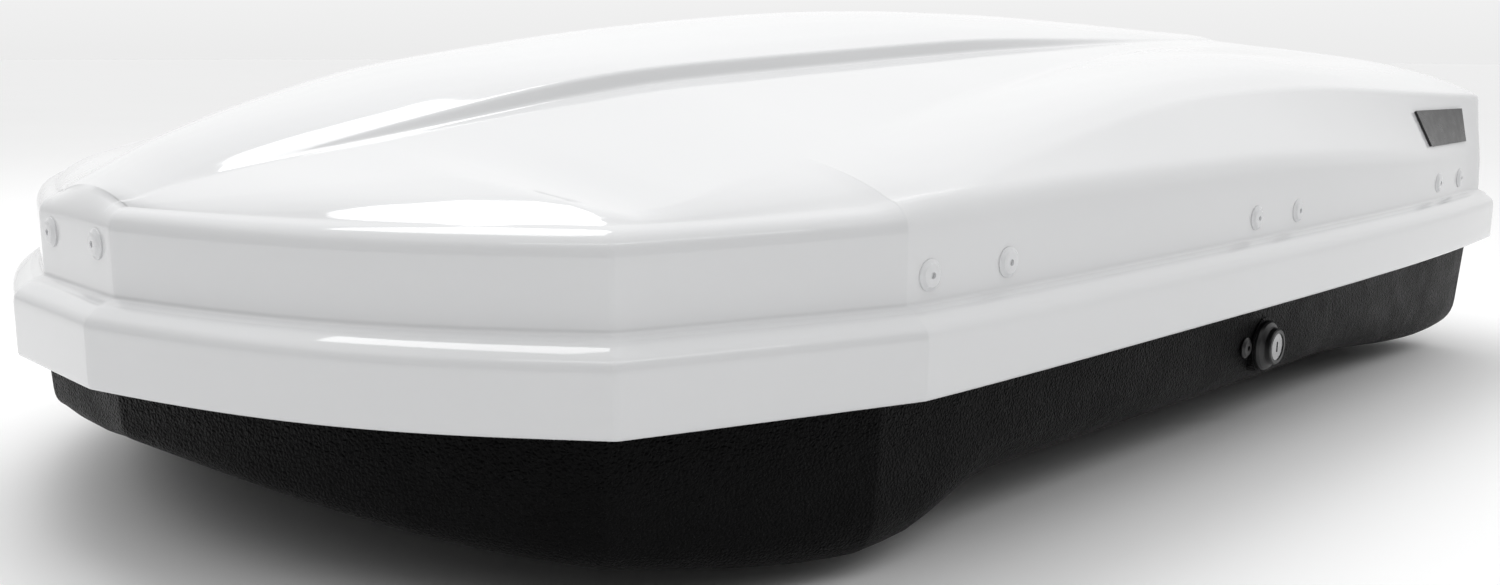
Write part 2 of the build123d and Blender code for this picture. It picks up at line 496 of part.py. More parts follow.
lock_nut = cyl_y(LOCK_X, SEAT_IN_Y + 2.2, SEAT_IN_Y + 7.2, LOCK_Z, 21.0).cut(cyl_y(LOCK_X, SEAT_IN_Y, SEAT_IN_Y + 12, LOCK_Z, 15.95))
case_plate = box(LOCK_X - 50, LOCK_X + 50, SEAT_IN_Y + 0.3, SEAT_IN_Y + 2.1, LOCK_Z - 28, LOCK_Z + 28).cut(cyl_y(LOCK_X, SEAT_IN_Y - 5, SEAT_IN_Y + 9, LOCK_Z, 16.1))
case_plate = case_plate.cut(cyl_y(CASE_RIVET_X, SEAT_IN_Y - 5, SEAT_IN_Y + 9, CASE_RIVET_Z, 3.3))
cover_y = RAIL_Y1 + 6.0
lock_cover = box(LOCK_X - 50, LOCK_X + 50, cover_y, cover_y + 2, LOCK_Z - 28, LOCK_Z + 36)
lock_cover = lock_cover.fuse(box(LOCK_X - 50, LOCK_X + 50, SEAT_IN_Y + 2.2, cover_y + 2, LOCK_Z - 28, LOCK_Z - 26))
case_rivet = rivet((CASE_RIVET_X, -half_width(CASE_RIVET_X, BASE_INSET + BASE_DRAFT * 0.82) - 0.8, CASE_RIVET_Z), (0.0, -1.0, 0.0), 9.0, 3.0, 3.0, 12.0)


# Catches on the lid -----------------------------------------------------------------------
def catch(xc):
    yw = -(min(half_width(xc - 14, LEDGE + t), half_width(xc + 14, LEDGE + t)) - 0.3)
    yp = RAIL_Y0 - 4.5
    c = box(xc - 12, xc + 12, yw, yw + 3, 186, 214)
    c = c.fuse(box(xc - 12, xc + 12, yw, yp, 186, 189))
    c = c.fuse(box(xc - 12, xc + 12, yp - 3, yp, 150, 189))
    c = c.fuse(cyl_y(xc, yp - 3, RAIL_Y1 + 4, 158.0, 3.0))
    return as_solid(c)


catches = [catch(x) for x in CATCH_X]


# Plain trim plates on the rear shoulders ------------------------------------------------------
def trim_plate(sign):
    us = [22.9, 23.7, 24.5, 25.25]
    body = None
    wires = []
    for u in us:
        p = section(u)
        (s, zs_), (w, zw_) = p[8], p[9]
        d = math.hypot(w - s, zs_ - zw_)
        n = ((zs_ - zw_) / d, (w - s) / d)
        z_hi, z_lo = (2.72, 2.06)
        f_hi = (zs_ - z_hi) / (zs_ - zw_)
        f_lo = (zs_ - z_lo) / (zs_ - zw_)
        q = []
        for f, o in ((f_hi, 0.3), (f_lo, 0.3), (f_lo + 0.004, 2.6), (f_hi - 0.004, 2.6)):
            y = s + f * (w - s) + n[0] * o / MODULE
            z = zs_ + f * (zw_ - zs_) + n[1] * o / MODULE
            q.append(Vector(X(u), sign * MODULE * y, ZZ(z)))
        wires.append(Wire.make_polygon(q, close=True))
    return Solid.make_loft(wires, ruled=True)


trim_near, trim_far = trim_plate(-1), trim_plate(1)

# Bolts of the floor rails (flat heads standing on the rails' floor)
fixings = []
for sy in (-1, 1):
    for xx in (SLOT_X0 - 262, SLOT_X0, SLOT_X0 + 262):
        z0 = FLOOR_Z + WALL + 2.5
        fixings.append(as_solid(Solid.make_cylinder(6.5, 2.6, Plane(origin=(xx, sy * 280.0, z0)))))
rail_fixings = Compound(fixings)

nodes = {
    "base_shell": as_solid(base_shell),
    "rim_seal": as_solid(rim_seal),
    "floor_rail_left": as_solid(floor_rail(1)),
    "floor_rail_right": as_solid(floor_rail(-1)),
    "floor_rail_fixings": rail_fixings,
    "lock_housing": as_solid(lock_housing),
    "lock_nut": as_solid(lock_nut),
    "lock_back_plate": as_solid(case_plate),
    "lock_cover": as_solid(lock_cover),
    "lock_case_rivet": as_solid(case_rivet),
    "lock_rail_guides": rail_guides,
    "hinge_base_leaf_front": hinges[0][0],
    "hinge_base_leaf_middle": hinges[1][0],
    "hinge_base_leaf_rear": hinges[2][0],
    "hinge_pins": Compound([h[2] for h in hinges]),
    "strut_base_bracket_front": struts[0][2],
    "strut_base_bracket_rear": struts[1][2],
    "lid_shell": as_solid(lid_shell),
    "lid_rivets_lock_side": rivets_near,
    "lid_rivets_hinge_side": rivets_far,
    "lid_rivets_nose": rivets_nose,
    "lid_brace_front": braces[0],
    "lid_brace_middle": braces[1],
    "lid_brace_rear": braces[2],
    "nose_stiffener": as_solid(nose_plate),
    "hinge_lid_leaf_front": hinges[0][1],
    "hinge_lid_leaf_middle": hinges[1][1],
    "hinge_lid_leaf_rear": hinges[2][1],
    "lid_catch_front": catches[0],
    "lid_catch_middle": catches[1],
    "lid_catch_rear": catches[2],
    "trim_plate_lock_side": trim_near,
    "trim_plate_hinge_side": trim_far,
    "strut_lid_bracket_front": struts[0][3],
    "strut_lid_bracket_rear": struts[1][3],
    "strut_cylinder_front": struts[0][0],
    "strut_cylinder_rear": struts[1][0],
    "strut_rod_front": struts[0][1],
    "strut_rod_rear": struts[1][1],
    "lock_barrel": as_solid(barrel),
    "lock_cam": as_solid(lock_cam),
    "lock_rail": lock_rail,
}
for name, shape in nodes.items():
    shape.label = name
    export_step(shape, f"parts/{name}.step")
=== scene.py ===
import bpy
import bmesh
import math
import numpy as np
from mathutils import Matrix, Vector


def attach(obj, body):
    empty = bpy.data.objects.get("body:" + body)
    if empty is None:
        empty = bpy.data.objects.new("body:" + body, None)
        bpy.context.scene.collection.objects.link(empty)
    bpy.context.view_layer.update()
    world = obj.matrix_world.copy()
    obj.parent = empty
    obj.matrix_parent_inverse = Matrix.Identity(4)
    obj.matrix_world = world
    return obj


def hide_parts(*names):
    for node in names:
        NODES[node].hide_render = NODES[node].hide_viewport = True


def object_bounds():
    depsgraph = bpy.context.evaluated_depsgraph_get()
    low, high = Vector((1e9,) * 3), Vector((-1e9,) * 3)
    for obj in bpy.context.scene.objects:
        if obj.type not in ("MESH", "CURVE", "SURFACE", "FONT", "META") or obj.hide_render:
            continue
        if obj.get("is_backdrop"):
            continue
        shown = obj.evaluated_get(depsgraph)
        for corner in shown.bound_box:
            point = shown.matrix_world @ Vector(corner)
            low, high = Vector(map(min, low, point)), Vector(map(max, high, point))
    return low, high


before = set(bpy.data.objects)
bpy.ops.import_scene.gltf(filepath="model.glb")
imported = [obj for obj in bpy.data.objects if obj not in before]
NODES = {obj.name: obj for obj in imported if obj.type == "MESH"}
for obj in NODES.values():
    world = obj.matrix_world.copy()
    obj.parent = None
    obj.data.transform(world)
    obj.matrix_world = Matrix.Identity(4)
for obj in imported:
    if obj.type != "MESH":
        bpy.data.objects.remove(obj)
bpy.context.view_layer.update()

# ---------------------------------------------------------------------------
# Shared geometry: the same module, outline and crease tables as the design,
# in metres here.  u is the distance from the nose in modules.
# ---------------------------------------------------------------------------
MOD = 0.054
LEN_U = 26.5
SKIRT_Z = 0.130
T = 0.004
LEDGE = 0.38
BASE_INSET = 0.58
BASE_DRAFT = 0.055


def X(u):
    return MOD * (np.asarray(u, float) - LEN_U / 2)


def Z(u):
    return MOD * np.asarray(u, float) + SKIRT_Z


def pchip(table):
    """Smooth monotone interpolation through a table of (x, value)."""
    xs = np.array([p[0] for p in table], float)
    ys = np.array([p[1] for p in table], float)
    h = np.diff(xs)
    d = np.diff(ys) / h
    m = np.zeros_like(xs)
    m[1:-1] = np.where(d[:-1] * d[1:] > 0, 3 * (h[:-1] + h[1:]) / ((2 * h[1:] + h[:-1]) / np.where(d[:-1] == 0, 1e-9, d[:-1]) + (h[1:] + 2 * h[:-1]) / np.where(d[1:] == 0, 1e-9, d[1:])), 0.0)
    m[0], m[-1] = d[0], d[-1]

    def f(x):
        x = np.asarray(x, float)
        i = np.clip(np.searchsorted(xs, x) - 1, 0, len(h) - 1)
        s = np.clip((x - xs[i]) / h[i], -0.3, 1.3)
        return ((2 * s**3 - 3 * s**2 + 1) * ys[i] + (s**3 - 2 * s**2 + s) * h[i] * m[i]
                + (-2 * s**3 + 3 * s**2) * ys[i + 1] + (s**3 - s**2) * h[i] * m[i + 1])

    return f


SPINE = pchip([(-0.5, 1.95), (0.38, 2.13), (1.0, 2.42), (1.6, 2.72), (2.36, 3.00), (3.41, 3.30), (4.96, 3.67), (6.68, 3.93),
               (8.62, 4.19), (10.8, 4.40), (13.4, 4.57), (15.7, 4.63), (18.0, 4.63), (19.9, 4.59), (22.0, 4.53), (24.1, 4.45), (27.0, 4.35)])
HOOD_Y = pchip([(-0.5, 0.75), (0.38, 0.98), (1.0, 1.19), (2.0, 1.60), (3.0, 2.03), (4.0, 2.38), (5.0, 2.62), (6.0, 2.80), (8.0, 3.05),
                (10.0, 3.15), (13.0, 3.12), (16.0, 2.98), (20.0, 2.60), (24.0, 2.00), (27.0, 1.55)])
HOOD_Z = pchip([(-0.5, 1.72), (0.38, 2.00), (0.6, 2.09), (1.1, 2.27), (1.64, 2.42), (2.24, 2.56), (2.9, 2.70), (3.67, 2.86), (4.55, 3.03),
                (5.66, 3.22), (7.16, 3.41), (8.9, 3.54), (11.1, 3.67), (12.5, 3.75), (14.7, 3.86), (17.6, 3.96), (20.5, 4.05), (23.7, 4.13), (27.0, 4.16)])
KEEL_Y = pchip([(3.2, 6.72), (3.7, 6.63), (5.0, 6.43), (6.6, 6.16), (9.0, 5.68), (12.85, 4.86), (16.7, 4.03), (18.65, 3.62), (21.84, 3.08), (26.2, 2.70), (27.0, 2.65)])
KEEL_Z = pchip([(3.2, 2.03), (3.7, 2.14), (5.0, 2.38), (6.6, 2.62), (9.0, 2.92), (12.85, 3.34), (16.7, 3.71), (18.65, 3.85), (21.84, 3.97), (26.2, 4.04), (27.0, 4.05)])
SHOULDER_Y = pchip([(6.5, 7.82), (7.5, 7.70), (8.9, 7.50), (11.4, 7.22), (13.7, 7.03), (16.4, 6.95), (19.2, 7.05), (23.2, 7.42), (25.4, 7.64), (27.0, 7.70)])
SHOULDER_Z = pchip([(6.5, 2.09), (7.5, 2.24), (8.9, 2.44), (11.4, 2.77), (13.7, 3.04), (16.4, 3.20), (19.2, 3.24), (23.2, 3.11), (25.4, 3.02), (27.0, 2.96)])
WALLTOP_Z = pchip([(0.0, 2.00), (3.2, 2.02), (6.5, 2.07), (8.35, 2.14), (10.0, 2.19), (15.0, 2.19), (19.0, 2.06), (22.0, 1.91), (25.3, 1.71), (27.0, 1.61)])

# Outline of the skirt: corners are sharp breaks between smooth curves ---------------
NOSE_CURVE = [(0.00, 1.21), (0.24, 2.06), (0.53, 2.97), (0.84, 3.74), (1.16, 4.43), (1.50, 5.04), (1.86, 5.59), (2.23, 6.10), (2.62, 6.58), (2.98, 7.03)]
SIDE_CURVE = [(6.48, 8.22), (8.50, 8.31), (10.5, 8.36), (12.5, 8.41), (15.2, 8.46), (18.8, 8.50), (22.0, 8.47), (24.5, 8.36), (26.5, 8.22)]


def chain(pts, n):
    """n + 1 points along a smooth curve through pts, evenly spaced, just inside the chords' hull."""
    p = np.array(pts, float)
    s = np.r_[0, np.cumsum(np.hypot(*np.diff(p, axis=0).T))]
    c = np.polyfit(s, p, 5)
    q = np.linspace(0, s[-1], n + 1)
    v = np.stack([np.polyval(c[:, k], q) for k in (0, 1)], 1)
    v[0], v[-1] = p[0], p[-1]
    return v


SEG = [chain(NOSE_CURVE, 22), np.linspace((2.98, 7.03), (6.48, 8.22), 11), chain(SIDE_CURVE, 46)]
OUT = np.concatenate([SEG[0], SEG[1][1:], SEG[2][1:]])          # half outline, nose corner to rear corner
OUT[:, 1] = np.minimum(OUT[:, 1], 8.4996)


CORNERS = [0, 22, 32, len(OUT) - 1]


def offset_corners(inset):
    """The four corners of the half outline moved inwards by inset modules, exact mitres."""
    p = np.vstack([OUT[0] * (1, -1), OUT, OUT[-1] * (1, -1)])
    res = []
    for i in CORNERS:
        a, b, c = p[i], p[i + 1], p[i + 2]
        n1, n2 = [np.array([d[1], -d[0]]) / np.hypot(*d) for d in (b - a, c - b)]
        res.append(b + inset * (n1 + n2) / (1 + n1 @ n2))
    return res


def offset_chain(k, inset, c0, c1):
    """(s, h): distance along and away from the chord c0-c1 of the k-th chain moved inwards."""
    q = OUT[CORNERS[k]:CORNERS[k + 1] + 1]
    d = np.gradient(q, axis=0)
    nrm = np.stack([d[:, 1], -d[:, 0]], 1) / np.hypot(*d.T)[:, None]
    q = q + inset * nrm
    L = np.hypot(*(c1 - c0))
    e = (c1 - c0) / L
    f = np.array([-e[1], e[0]])
    sj, hj = (q - c0) @ e, (q - c0) @ f
    ok = (sj > 0.02 * L) & (sj < 0.98 * L)
    return L, e, f, np.r_[0, sj[ok], L], np.r_[0, hj[ok], 0]


def outline(inset, radii=None, arc=5):
    """Half outline at an inset with its corners rounded: (M, 2) modules, the same count for every inset.
    The first and last corners (nose and rear) are rounded as well: their arcs begin and end the list."""
    radii = radii or {}
    C = offset_corners(inset)
    ends = [C[0] * (1, -1)] + C + [C[-1] * (1, -1)]
    chains = [offset_chain(k, inset, C[k], C[k + 1]) for k in range(3)]

    def on_chain(k, dist):
        L, e, f, sj, hj = chains[k]
        return C[k] + e * dist + f * np.interp(dist, sj, hj)

    trims = []
    for i, name in enumerate(("C3", "C2", "C1", "R")):
        r = radii.get(name, 0.0)
        a, b, c = ends[i], ends[i + 1], ends[i + 2]
        da, dc = (a - b) / np.hypot(*(a - b)), (c - b) / np.hypot(*(c - b))
        ang = math.acos(max(-1, min(1, float(da @ dc))))
        t = r / math.tan(ang / 2)
        t = min(t, 0.40 * np.hypot(*(a - b)), 0.40 * np.hypot(*(c - b)))
        trims.append((t, ang, da, dc))
    out = []
    for i in range(4):
        t, ang, da, dc = trims[i]
        b = C[i]
        p0 = b + da * t if i == 0 else on_chain(i - 1, chains[i - 1][0] - t)
        p1 = b + dc * t if i == 3 else on_chain(i, t)
        q = np.linspace(0, 1, 2 * arc + 1)[:, None]
        w = math.sin(ang / 2)
        den = (1 - q) ** 2 + 2 * w * q * (1 - q) + q**2
        out.append(((1 - q) ** 2 * p0 + 2 * w * q * (1 - q) * b + q**2 * p1) / den)
        if i < 3:
            L = chains[i][0]
            n = CORNERS[i + 1] - CORNERS[i]
            dist = t + (L - t - trims[i + 1][0]) * np.arange(1, n) / n
            out.append(np.array([on_chain(i, d) for d in dist]))
    return np.concatenate(out)


RADII = {"C3": 0.16, "C2": 0.13, "C1": 0.13, "R": 0.18}


def heights(u, w):
    """Everything the cross sections need at stations u with half width w."""
    return dict(zs=SPINE(u), g=HOOD_Y(u), zg=HOOD_Z(u), k=KEEL_Y(u), zk=KEEL_Z(u), s=SHOULDER_Y(u), zsh=SHOULDER_Z(u), zw=WALLTOP_Z(u), w=w)


def smooth01(x):
    x = np.clip(x, 0, 1)
    return x * x * (3 - 2 * x)


def section_controls(u, w, ye, ze):
    """Control points (y, z) and fillet sizes of one half section, spine to edge point (ye, ze)."""
    zs, g, zg = float(SPINE(u)), min(float(HOOD_Y(u)), ye - 0.24), float(HOOD_Z(u))
    ramp = float(smooth01((u - 0.5) / 1.6)) * float(1 - 0.75 * smooth01((u - 19) / 6))
    rise = float(smooth01((u - 0.5) / 6.0)) * float(1 - 0.80 * smooth01((u - 13.5) / 9.0))
    zt = zg + 0.03 * ramp + 0.19 * rise
    riser = min(0.10, 0.3 * (ye - g))
    foot = g + riser
    top_w = float(smooth01((u - 3.0) / 0.9))
    lin = lambda y, ya, za, yb, zb: za + (zb - za) * (y - ya) / (yb - ya)
    # keel crease: fades in behind the second nose corner
    k_real, zk_real = float(KEEL_Y(u)), float(KEEL_Z(u))
    k_free = foot + 0.55 * (ye - foot)
    k = k_free + (k_real - k_free) * top_w
    zk_free = lin(k_free, foot, zg, ye, ze) + 0.10 * ramp
    zk = zk_free + (zk_real - zk_free) * top_w
    k = min(k, ye - 0.35 * min(ye - foot, 0.9))
    # shoulder crease: fades in behind the first side corner
    side = float(smooth01((u - 6.45) / 1.3))
    s_real, zs_real = min(float(SHOULDER_Y(u)), ye - 0.03), float(SHOULDER_Z(u))
    s_free = k + 0.93 * (ye - k)
    zs_free = lin(s_free, k, zk, ye, ze)
    s = s_free + (s_real - s_free) * side
    zsh = zs_free + (zs_real - zs_free) * side
    bulge = 0.20 * float(smooth01((u - 6.5) / 13.0)) + 0.05 * ramp
    span = s - k
    pts = [(0.0, zs, 0.0), (0.45 * g, zs - 0.20 * (zs - zt), 0.0), (0.80 * g, zs - 0.62 * (zs - zt), 0.0),
           (g, zt, 0.055), (foot, zg, 0.06), (k, zk, 0.16 + 0.0 * u)]
    for f, b in ((0.28, 0.62), (0.55, 1.0), (0.80, 0.80)):
        pts.append((k + f * span, zk + f * (zsh - zk) + b * bulge * min(1.0, span), 0.0))
    pts.append((s, zsh, 0.10))
    pts.append((ye, ze, 0.0))
    return pts


COUNTS = [5, 5, 4, 3, 9, 6, 6, 6, 5, 6]     # subdivisions between the control points


def sample_section(pts):
    """Rounded, gently curved half section with a fixed number of points."""
    P = np.array([(a, b) for a, b, _ in pts])
    R = [c for _, _, c in pts]
    n = len(P)
    # tangents: smooth points get the mean direction, creases keep each side's own
    out = []
    for i in range(n - 1):
        a, b = P[i], P[i + 1]
        L = np.hypot(*(b - a))
        chord = (b - a) / L
        if i == 0:
            ta = np.array([1.0, 0.0])
        elif R[i] == 0:
            d = P[i + 1] - P[i - 1]
            ta = d / np.hypot(*d)
        else:
            ta = chord
        if i + 1 == n - 1:
            tb = chord
        elif R[i + 1] == 0:
            d = P[i + 2] - P[i]
            tb = d / np.hypot(*d)
        else:
            tb = chord
        out.append((a, b, ta * L, tb * L))

    def herm(seg, q):
        a, b, ta, tb = seg
        q = q[:, None]
        return (2 * q**3 - 3 * q**2 + 1) * a + (q**3 - 2 * q**2 + q) * ta + (-2 * q**3 + 3 * q**2) * b + (q**3 - q**2) * tb

    res = []
    for i, seg in enumerate(out):
        L = np.hypot(*(seg[1] - seg[0]))
        fa = min(R[i] / L, 0.42)
        fb = min(R[i + 1] / L, 0.42)
        q = np.linspace(fa, 1 - fb, COUNTS[i] + 1)
        c = herm(seg, q)
        if i > 0 and R[i] > 0:
            prev = res[-1][-1]
            b = seg[0]
            w = np.linspace(0, 1, 7)[1:-1, None]
            res.append((1 - w) ** 2 * prev + 2 * w * (1 - w) * b + w**2 * c[0])
            res.append(c)
        elif i > 0:
            res.append(c[1:])
        else:
            res.append(c)
    return np.concatenate(res)


def quad_mesh(name, grid_list):
    """One mesh from several index-linked vertex grids given as (verts, faces)."""
    verts, faces = [], []
    for v, f in grid_list:
        o = len(verts)
        verts.extend(v)
        faces.extend([tuple(i + o for i in q) for q in f])
    me = bpy.data.meshes.new(name)
    me.from_pydata([tuple(map(float, v)) for v in verts], [], faces)
    ob = bpy.data.objects.new(name, me)
    bpy.context.scene.collection.objects.link(ob)
    return ob


def clean(ob, dist=1e-5, smooth=True, up=None):
    """Weld, drop slivers, and turn the normals so that the highest (up=1) or lowest (up=-1) face points outwards."""
    bm = bmesh.new()
    bm.from_mesh(ob.data)
    bmesh.ops.remove_doubles(bm, verts=bm.verts, dist=dist)
    bmesh.ops.dissolve_degenerate(bm, edges=bm.edges, dist=1e-6)
    bmesh.ops.recalc_face_normals(bm, faces=bm.faces)
    if up is not None:
        f = max(bm.faces, key=lambda q: up * q.calc_center_median().z)
        f.normal_update()
        if f.normal.z * up < 0:
            bmesh.ops.reverse_faces(bm, faces=bm.faces)
    bm.to_mesh(ob.data)
    bm.free()
    if smooth:
        for p in ob.data.polygons:
            p.use_smooth = True
    return ob


def apply_mods(ob):
    dg = bpy.context.evaluated_depsgraph_get()
    me = bpy.data.meshes.new_from_object(ob.evaluated_get(dg), preserve_all_data_layers=True, depsgraph=dg)
    ob.modifiers.clear()
    old = ob.data
    ob.data = me
    bpy.data.meshes.remove(old)
    return ob


# ---------------------------------------------------------------------------
# Lid shell
# ---------------------------------------------------------------------------
def lid_surface():
    """Roof grid of the outer surface only, with the wall outline, the roof's edge line and the wall-top heights it
    starts from.
    """
    rf = 0.24
    wall = outline(LEDGE, RADII)
    M = len(wall)
    # inset of the roof's edge behind the wall line, smaller where the shoulder is steep
    u = wall[:, 0]
    slope = np.clip((SHOULDER_Z(u) - WALLTOP_Z(u)) / np.maximum(wall[:, 1] - SHOULDER_Y(u), 0.03), 0.0, 30.0)
    side = smooth01((u - 6.0) / 1.2)
    beta = np.arctan(slope) * side
    h = rf * np.cos(beta)
    rise = rf * np.sin(beta)
    levels = {}
    grid_h = np.linspace(0, rf, 13)
    stack = np.stack([outline(LEDGE + d, RADII) for d in grid_h])       # 13 x M x 2
    edge = np.zeros((M, 2))
    for i in range(M):
        edge[i, 0] = np.interp(h[i], grid_h, stack[:, i, 0])
        edge[i, 1] = np.interp(h[i], grid_h, stack[:, i, 1])
    zw = WALLTOP_Z(u)
    ze = zw + rise + 0.05 * (1 - side)
    # roof grid: station i has the plan position of edge i
    rows = []
    for i in range(M):
        pts = section_controls(edge[i, 0], wall[i, 1], edge[i, 1], ze[i])
        rows.append(sample_section(pts))
    rows = np.array(rows)            # M x C x 2
    C = rows.shape[1]
    # stations at the rounded nose and rear corners share nearly one x; every column of a station takes its edge point's
    # x
    top = np.zeros((M, 2 * C - 1, 3))
    for i in range(M):
        half = rows[i]
        y = np.concatenate([-half[::-1, 0], half[1:, 0]])
        z = np.concatenate([half[::-1, 1], half[1:, 1]])
        top[i, :, 0] = edge[i, 0]
        top[i, :, 1] = y
        top[i, :, 2] = z
    return wall, edge, zw, top


wall, edge, zw, top = lid_surface()
M, W = top.shape[0], top.shape[1]


def perimeter(half, zhalf, cols_tip, cols_rear, zt, zr):
    """Loop of points: far side nose to rear, rear edge far to near, near side rear to nose, tip edge near to far."""
    pts = []
    for i in range(len(half)):
        pts.append((half[i, 0], half[i, 1], zhalf[i]))
    for y, z in zip(cols_rear, zr):
        pts.append((half[-1, 0], y, z))
    for i in range(len(half) - 1, -1, -1):
        pts.append((half[i, 0], -half[i, 1], zhalf[i]))
    for y, z in zip(cols_tip, zt):
        pts.append((half[0, 0], y, z))
    return np.array(pts)


def roof_loop(top):
    M, W, _ = top.shape
    idx = [(i, W - 1) for i in range(M)] + [(M - 1, j) for j in range(W - 2, 0, -1)] + [(i, 0) for i in range(M - 1, -1, -1)] + [(0, j) for j in range(1, W - 1)]
    return idx


loop_idx = roof_loop(top)
tip_frac = top[0, 1:-1, 1] / edge[0, 1]
rear_frac = top[-1, W - 2:0:-1, 1] / edge[-1, 1]


def loop_at(half, zhalf, zt=None, zr=None):
    cr = rear_frac * half[-1, 1]
    ct = tip_frac * half[0, 1]
    zr = np.full(len(cr), zhalf[-1]) if zr is None else zr
    zt = np.full(len(ct), zhalf[0]) if zt is None else zt
    return perimeter(half, zhalf, ct, cr, zt, zr)


# heights of the roof along the tip and rear edges
z_tip = top[0, 1:-1, 2]
z_rear = top[-1, W - 2:0:-1, 2]
rear_drop = 0.22

loops = []
edge_loop = np.array([top[i, j] for i, j in loop_idx])
ctrl_half = outline(LEDGE, RADII)
RF_Z = 0.24
zw_rear = z_rear - 0.02
ctrl = loop_at(ctrl_half, zw, zt=np.full(len(z_tip), zw[0]) + 0.0, zr=zw_rear)
down = loop_at(ctrl_half, zw - RF_Z, zt=np.full(len(z_tip), zw[0] - RF_Z), zr=zw_rear - RF_Z)
# the rear and side walls meet on the corner's arc; a ramp over its last points and the corner's roof height are set up
# here but not used
n_half = M
arc_pts = 11
ramp_i = np.zeros(M)
ramp_i[-arc_pts:] = np.linspace(0, 1, arc_pts)
z_corner = top[-1, -1, 2]
loops.append(edge_loop)
for q in np.linspace(0, 1, 7)[1:]:
    loops.append((1 - q) ** 2 * edge_loop + 2 * q * (1 - q) * ctrl + q**2 * down)
for f in (0.3, 0.65):
    lo = loop_at(ctrl_half, np.full(M, 1.06))
    loops.append(down * (1 - f) + lo * f)


def add_level(inset, z):
    half = outline(inset, RADII)
    loops.append(loop_at(half, np.full(M, z)))


for inset, z in ((LEDGE, 1.075), (LEDGE, 1.035), (LEDGE - 0.012, 1.008), (LEDGE - 0.04, 0.995), (0.262, 0.972), (0.250, 0.962), (0.240, 0.960),
                 (0.17, 0.925), (0.13, 0.895), (0.085, 0.865), (0.045, 0.825), (0.018, 0.775), (0.004, 0.715),
                 (0.0, 0.64), (0.0, 0.40), (0.0, 0.16), (0.0, 0.05), (0.006, 0.012), (0.025, 0.0), (0.05, 0.0)):
    add_level(inset, z)

V, F = [], []
vid = {}
for i in range(M):
    for j in range(W):
        vid[(i, j)] = len(V)
        V.append(top[i, j])
for i in range(M - 1):
    for j in range(W - 1):
        F.append((vid[(i, j)], vid[(i + 1, j)], vid[(i + 1, j + 1)], vid[(i, j + 1)]))
prev = [vid[k] for k in loop_idx]
n = len(prev)
for L in loops[1:]:
    cur = []
    for p in L:
        cur.append(len(V))
        V.append(p)
    for a in range(n):
        b = (a + 1) % n
        F.append((prev[a], prev[b], cur[b], cur[a]))
    prev = cur
V = np.array(V)
# the upper part flares a little towards its rear corners, and its rear wall stands close to the skirt's
flare = smooth01((V[:, 0] - 25.2) / 0.95) * smooth01((V[:, 2] - 0.88) / 0.14)
V[:, 1] *= 1 + 0.014 * flare
V[:, 0] += 0.12 * flare
V = np.stack([X(V[:, 0]), MOD * V[:, 1], Z(V[:, 2])], 1)
lid = quad_mesh("lid_outer_shell", [(V, F)])
clean(lid, up=1)
# ease the two upper rear corners, where side, rear and shoulder run together
bm = bmesh.new()
bm.from_mesh(lid.data)
corner = [v for v in bm.verts if v.co.x > X(25.55) and 7.25 * MOD < abs(v.co.y) < 8.2 * MOD and Z(1.25) < v.co.z < Z(3.15)]
for _ in range(10):
    bmesh.ops.smooth_vert(bm, verts=corner, factor=0.5, use_axis_x=True, use_axis_y=True, use_axis_z=True)
bm.to_mesh(lid.data)
bm.free()
sol = lid.modifiers.new("thick", "SOLIDIFY")
sol.thickness = 0.0038
sol.offset = -1.0
sol.use_even_offset = False
sol.use_rim = True
apply_mods(lid)
for p in lid.data.polygons:
    p.use_smooth = True


# ---------------------------------------------------------------------------
# Tub
# ---------------------------------------------------------------------------
SHIFT = [(0.5, -0.25), (3.3, -0.09), (6.6, -0.18), (10.0, -0.10), (14.0, 0.0), (22.0, 0.0), (24.5, 0.14), (25.9, 0.38)]


def shifted(half, k):
    """Tub outline moved along X as the design does below the skirt; k is the share of it, per point."""
    xs = np.array([a for a, _ in SHIFT])
    ds = np.array([b for _, b in SHIFT])
    out = half.copy()
    out[:, 0] += k * np.interp(half[:, 0], xs, ds)
    out[:, 1] += k * 0.14 * smooth01((half[:, 0] - 22.0) / 3.6) * np.sign(half[:, 1])
    return out


FLOOR = pchip([(-0.6, -0.34), (0.30, -0.65), (0.88, -0.89), (1.47, -1.14), (2.2, -1.42), (3.04, -1.64), (3.98, -1.86), (5.0, -2.09), (6.2, -2.33), (6.9, -2.395), (7.3, -2.407), (7.9, -2.407),
               (8.15, -2.37), (8.45, -2.24), (9.1, -1.90), (9.4, -1.77), (9.8, -1.705), (10.4, -1.70), (19.8, -1.70), (20.6, -1.725), (21.4, -1.87), (22.8, -2.20), (23.5, -2.35),
               (24.1, -2.407), (25.0, -2.407), (26.4, -2.407), (28.0, -2.40)])
# the bellies are crowned: along the sides the floor runs a little higher than on the centre line
FLOOR_SIDE = pchip([(-0.6, -0.29), (0.30, -0.60), (0.88, -0.85), (1.47, -1.11), (2.2, -1.39), (3.04, -1.63), (3.98, -1.81), (4.52, -1.92), (5.15, -2.03), (5.79, -2.11),
                    (6.5, -2.15), (7.2, -2.15), (7.56, -2.11), (8.0, -1.99), (8.4, -1.84), (8.81, -1.715), (9.24, -1.68), (9.8, -1.675), (12.0, -1.69), (15.3, -1.715),
                    (19.2, -1.72), (19.9, -1.735), (20.35, -1.77), (21.2, -1.86), (22.2, -1.95), (23.5, -2.07), (24.4, -2.09), (25.2, -2.03), (26.4, -1.88), (28.0, -1.75)])
TUB_RADII = {"C3": 0.14, "C2": 0.10, "C1": 0.16, "R": 0.22}


def tub_inset(z):
    return BASE_INSET + np.where(np.asarray(z) < 0, -BASE_DRAFT * np.asarray(z), 0.0) + 0.004


